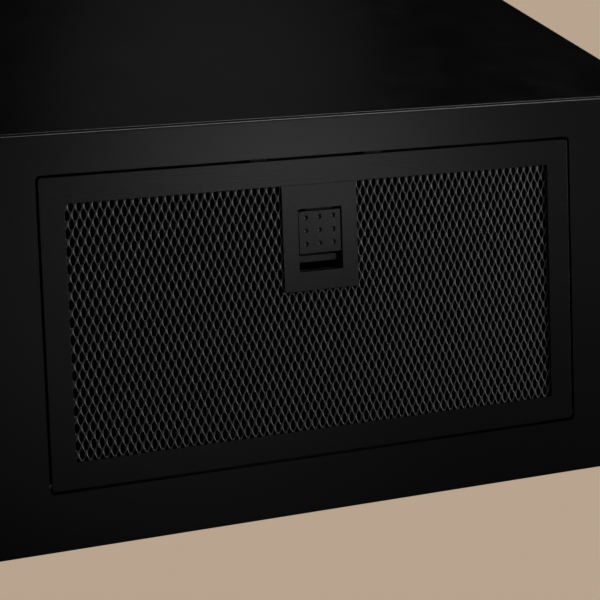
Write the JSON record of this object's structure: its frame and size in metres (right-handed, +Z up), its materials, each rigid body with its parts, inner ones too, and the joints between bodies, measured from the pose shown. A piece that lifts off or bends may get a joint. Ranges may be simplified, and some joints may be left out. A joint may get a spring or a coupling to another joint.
{
  "type": "cooker hood",
  "caption": "Inclined wall-mounted kitchen extractor hood with a lift-up black glass front and a latched expanded-metal grease filter in its flat underside.",
  "frame": {"origin": "centre of the four wall bolt holes, on the back face that lies against the wall", "axes": "+Z up along the chimney, +Y into the wall, the room and the glass front toward -Y, +X to the right facing the wall"},
  "size_m": [0.6026, 0.4216, 0.9814],
  "materials": {
    "black_steel": "satin black powder coat",
    "filter_steel": "satin black powder coat",
    "filter_mesh": "black anodised expanded aluminium",
    "latch_plastic": "fine moulded texture",
    "black_glass": "black enamelled toughened glass",
    "carrier_steel": "satin black",
    "zinc_steel": "zinc plated",
    "bright_steel": "ground",
    "screw_steel": "black oxide",
    "magnet_housing": "moulded",
    "bumper_rubber": "matt",
    "trim_plastic": "moulded",
    "button_plastic": "moulded",
    "board": "solder mask",
    "switch_plastic": "moulded",
    "blower_plastic": "moulded",
    "wheel_plastic": "moulded",
    "motor_can": "zinc plated",
    "capacitor_can": "moulded",
    "carbon_cartridge": "moulded",
    "spigot_plastic": "moulded",
    "lamp_ring": "satin black",
    "lamp_lens": "frosted",
    "lamp_sink": "die cast"
  },
  "bodies": {
    "hood": {"canopy_shell": "black_steel", "underside_panel": "black_steel", "filter_seat": "black_steel", "front_panel": "black_steel", "control_fascia": "black_steel", "chimney_lower": "black_steel", "latch_keeper": "zinc_steel", "hinge_brackets": "zinc_steel", "blower_brackets": "zinc_steel", "capacitor_clip": "zinc_steel", "motor_spider": "zinc_steel", "inlet_rings": "zinc_steel", "hinge_pins": "bright_steel", "damper_pin": "bright_steel", "panel_screws": "screw_steel", "catch_magnets": "magnet_housing", "flap_bumpers": "bumper_rubber", "button_bezel": "trim_plastic", "cable_gland": "trim_plastic", "switch_board": "board", "control_board": "board", "tact_switches": "switch_plastic", "terminal_block": "switch_plastic", "blower_volute": "blower_plastic", "outlet_box": "blower_plastic", "control_box": "blower_plastic", "motor": "motor_can", "run_capacitor": "capacitor_can", "outlet_spigot": "spigot_plastic", "lamp_bezels": "lamp_ring", "lamp_lenses": "lamp_lens", "lamp_modules": "lamp_sink"},
    "glass": {"flap_glass": "black_glass", "flap_carrier": "carrier_steel", "hinge_arms": "zinc_steel", "strike_plates": "carrier_steel"},
    "filter": {"filter_frame": "filter_steel", "mesh_front": "filter_mesh", "mesh_pack": "filter_mesh", "mesh_rear": "filter_mesh", "filter_pivots": "zinc_steel", "latch_plate": "latch_plastic", "latch_springs": "bright_steel"},
    "latch": {"latch_pad": "latch_plastic", "latch_bar": "latch_plastic"},
    "fan": {"fan_wheel": "wheel_plastic", "motor_shaft": "bright_steel", "shaft_nut": "bright_steel"},
    "damper_front": {"damper_front": "spigot_plastic"},
    "damper_rear": {"damper_rear": "spigot_plastic"},
    "carbon_left": {"carbon_filter_left": "carbon_cartridge"},
    "carbon_right": {"carbon_filter_right": "carbon_cartridge"},
    "chimney_top": {"chimney_upper": "black_steel", "chimney_bracket": "zinc_steel", "chimney_screws": "screw_steel"},
    "button_1": {"push_button_1": "button_plastic"},
    "button_2": {"push_button_2": "button_plastic"},
    "button_3": {"push_button_3": "button_plastic"},
    "button_4": {"push_button_4": "button_plastic"},
    "button_5": {"push_button_5": "button_plastic"}
  },
  "joints": [
    {"name": "glass_lift", "type": "hinge", "parent": "hood", "child": "glass", "pos_m": [0, -0.38241, 0.07318], "axis": [-1, 0, 0], "range_deg": [0, 70]},
    {"name": "filter_drop", "type": "hinge", "parent": "hood", "child": "filter", "pos_m": [0, -0.0444, -0.2362], "axis": [1, 0, 0], "range_deg": [0, 75]},
    {"name": "latch_slide", "type": "slide", "parent": "filter", "child": "latch", "axis": [0, 1, 0], "range_m": [0, 0.004], "stiffness_N_per_m": 500, "springref_m": -0.004, "deforming": ["latch_springs"]},
    {"name": "fan_spin", "type": "hinge", "parent": "hood", "child": "fan", "pos_m": [0, -0.19, -0.05], "axis": [1, 0, 0], "continuous": true},
    {"name": "damper_front_swing", "type": "hinge", "parent": "hood", "child": "damper_front", "pos_m": [0, -0.125, 0.166], "axis": [-1, 0, 0], "range_deg": [0, 75]},
    {"name": "damper_rear_swing", "type": "hinge", "parent": "hood", "child": "damper_rear", "pos_m": [0, -0.125, 0.166], "axis": [1, 0, 0], "range_deg": [0, 75]},
    {"name": "carbon_left_twist", "type": "hinge", "parent": "hood", "child": "carbon_left", "pos_m": [-0.086, -0.19, -0.05], "axis": [-1, 0, 0], "range_deg": [0, 20]},
    {"name": "carbon_right_twist", "type": "hinge", "parent": "hood", "child": "carbon_right", "pos_m": [0.086, -0.19, -0.05], "axis": [1, 0, 0], "range_deg": [0, 20]},
    {"name": "chimney_extend", "type": "slide", "parent": "hood", "child": "chimney_top", "axis": [0, 0, 1], "range_m": [-0.12, 0.1]},
    {"name": "button_1_press", "type": "slide", "parent": "hood", "child": "button_1", "axis": [0, 0.9397, 0.342], "range_m": [0, 0.0015], "stiffness_N_per_m": 700, "springref_m": -0.0008},
    {"name": "button_2_press", "type": "slide", "parent": "hood", "child": "button_2", "axis": [0, 0.9397, 0.342], "range_m": [0, 0.0015], "stiffness_N_per_m": 700, "springref_m": -0.0008},
    {"name": "button_3_press", "type": "slide", "parent": "hood", "child": "button_3", "axis": [0, 0.9397, 0.342], "range_m": [0, 0.0015], "stiffness_N_per_m": 700, "springref_m": -0.0008},
    {"name": "button_4_press", "type": "slide", "parent": "hood", "child": "button_4", "axis": [0, 0.9397, 0.342], "range_m": [0, 0.0015], "stiffness_N_per_m": 700, "springref_m": -0.0008},
    {"name": "button_5_press", "type": "slide", "parent": "hood", "child": "button_5", "axis": [0, 0.9397, 0.342], "range_m": [0, 0.0015], "stiffness_N_per_m": 700, "springref_m": -0.0008}
  ]
}
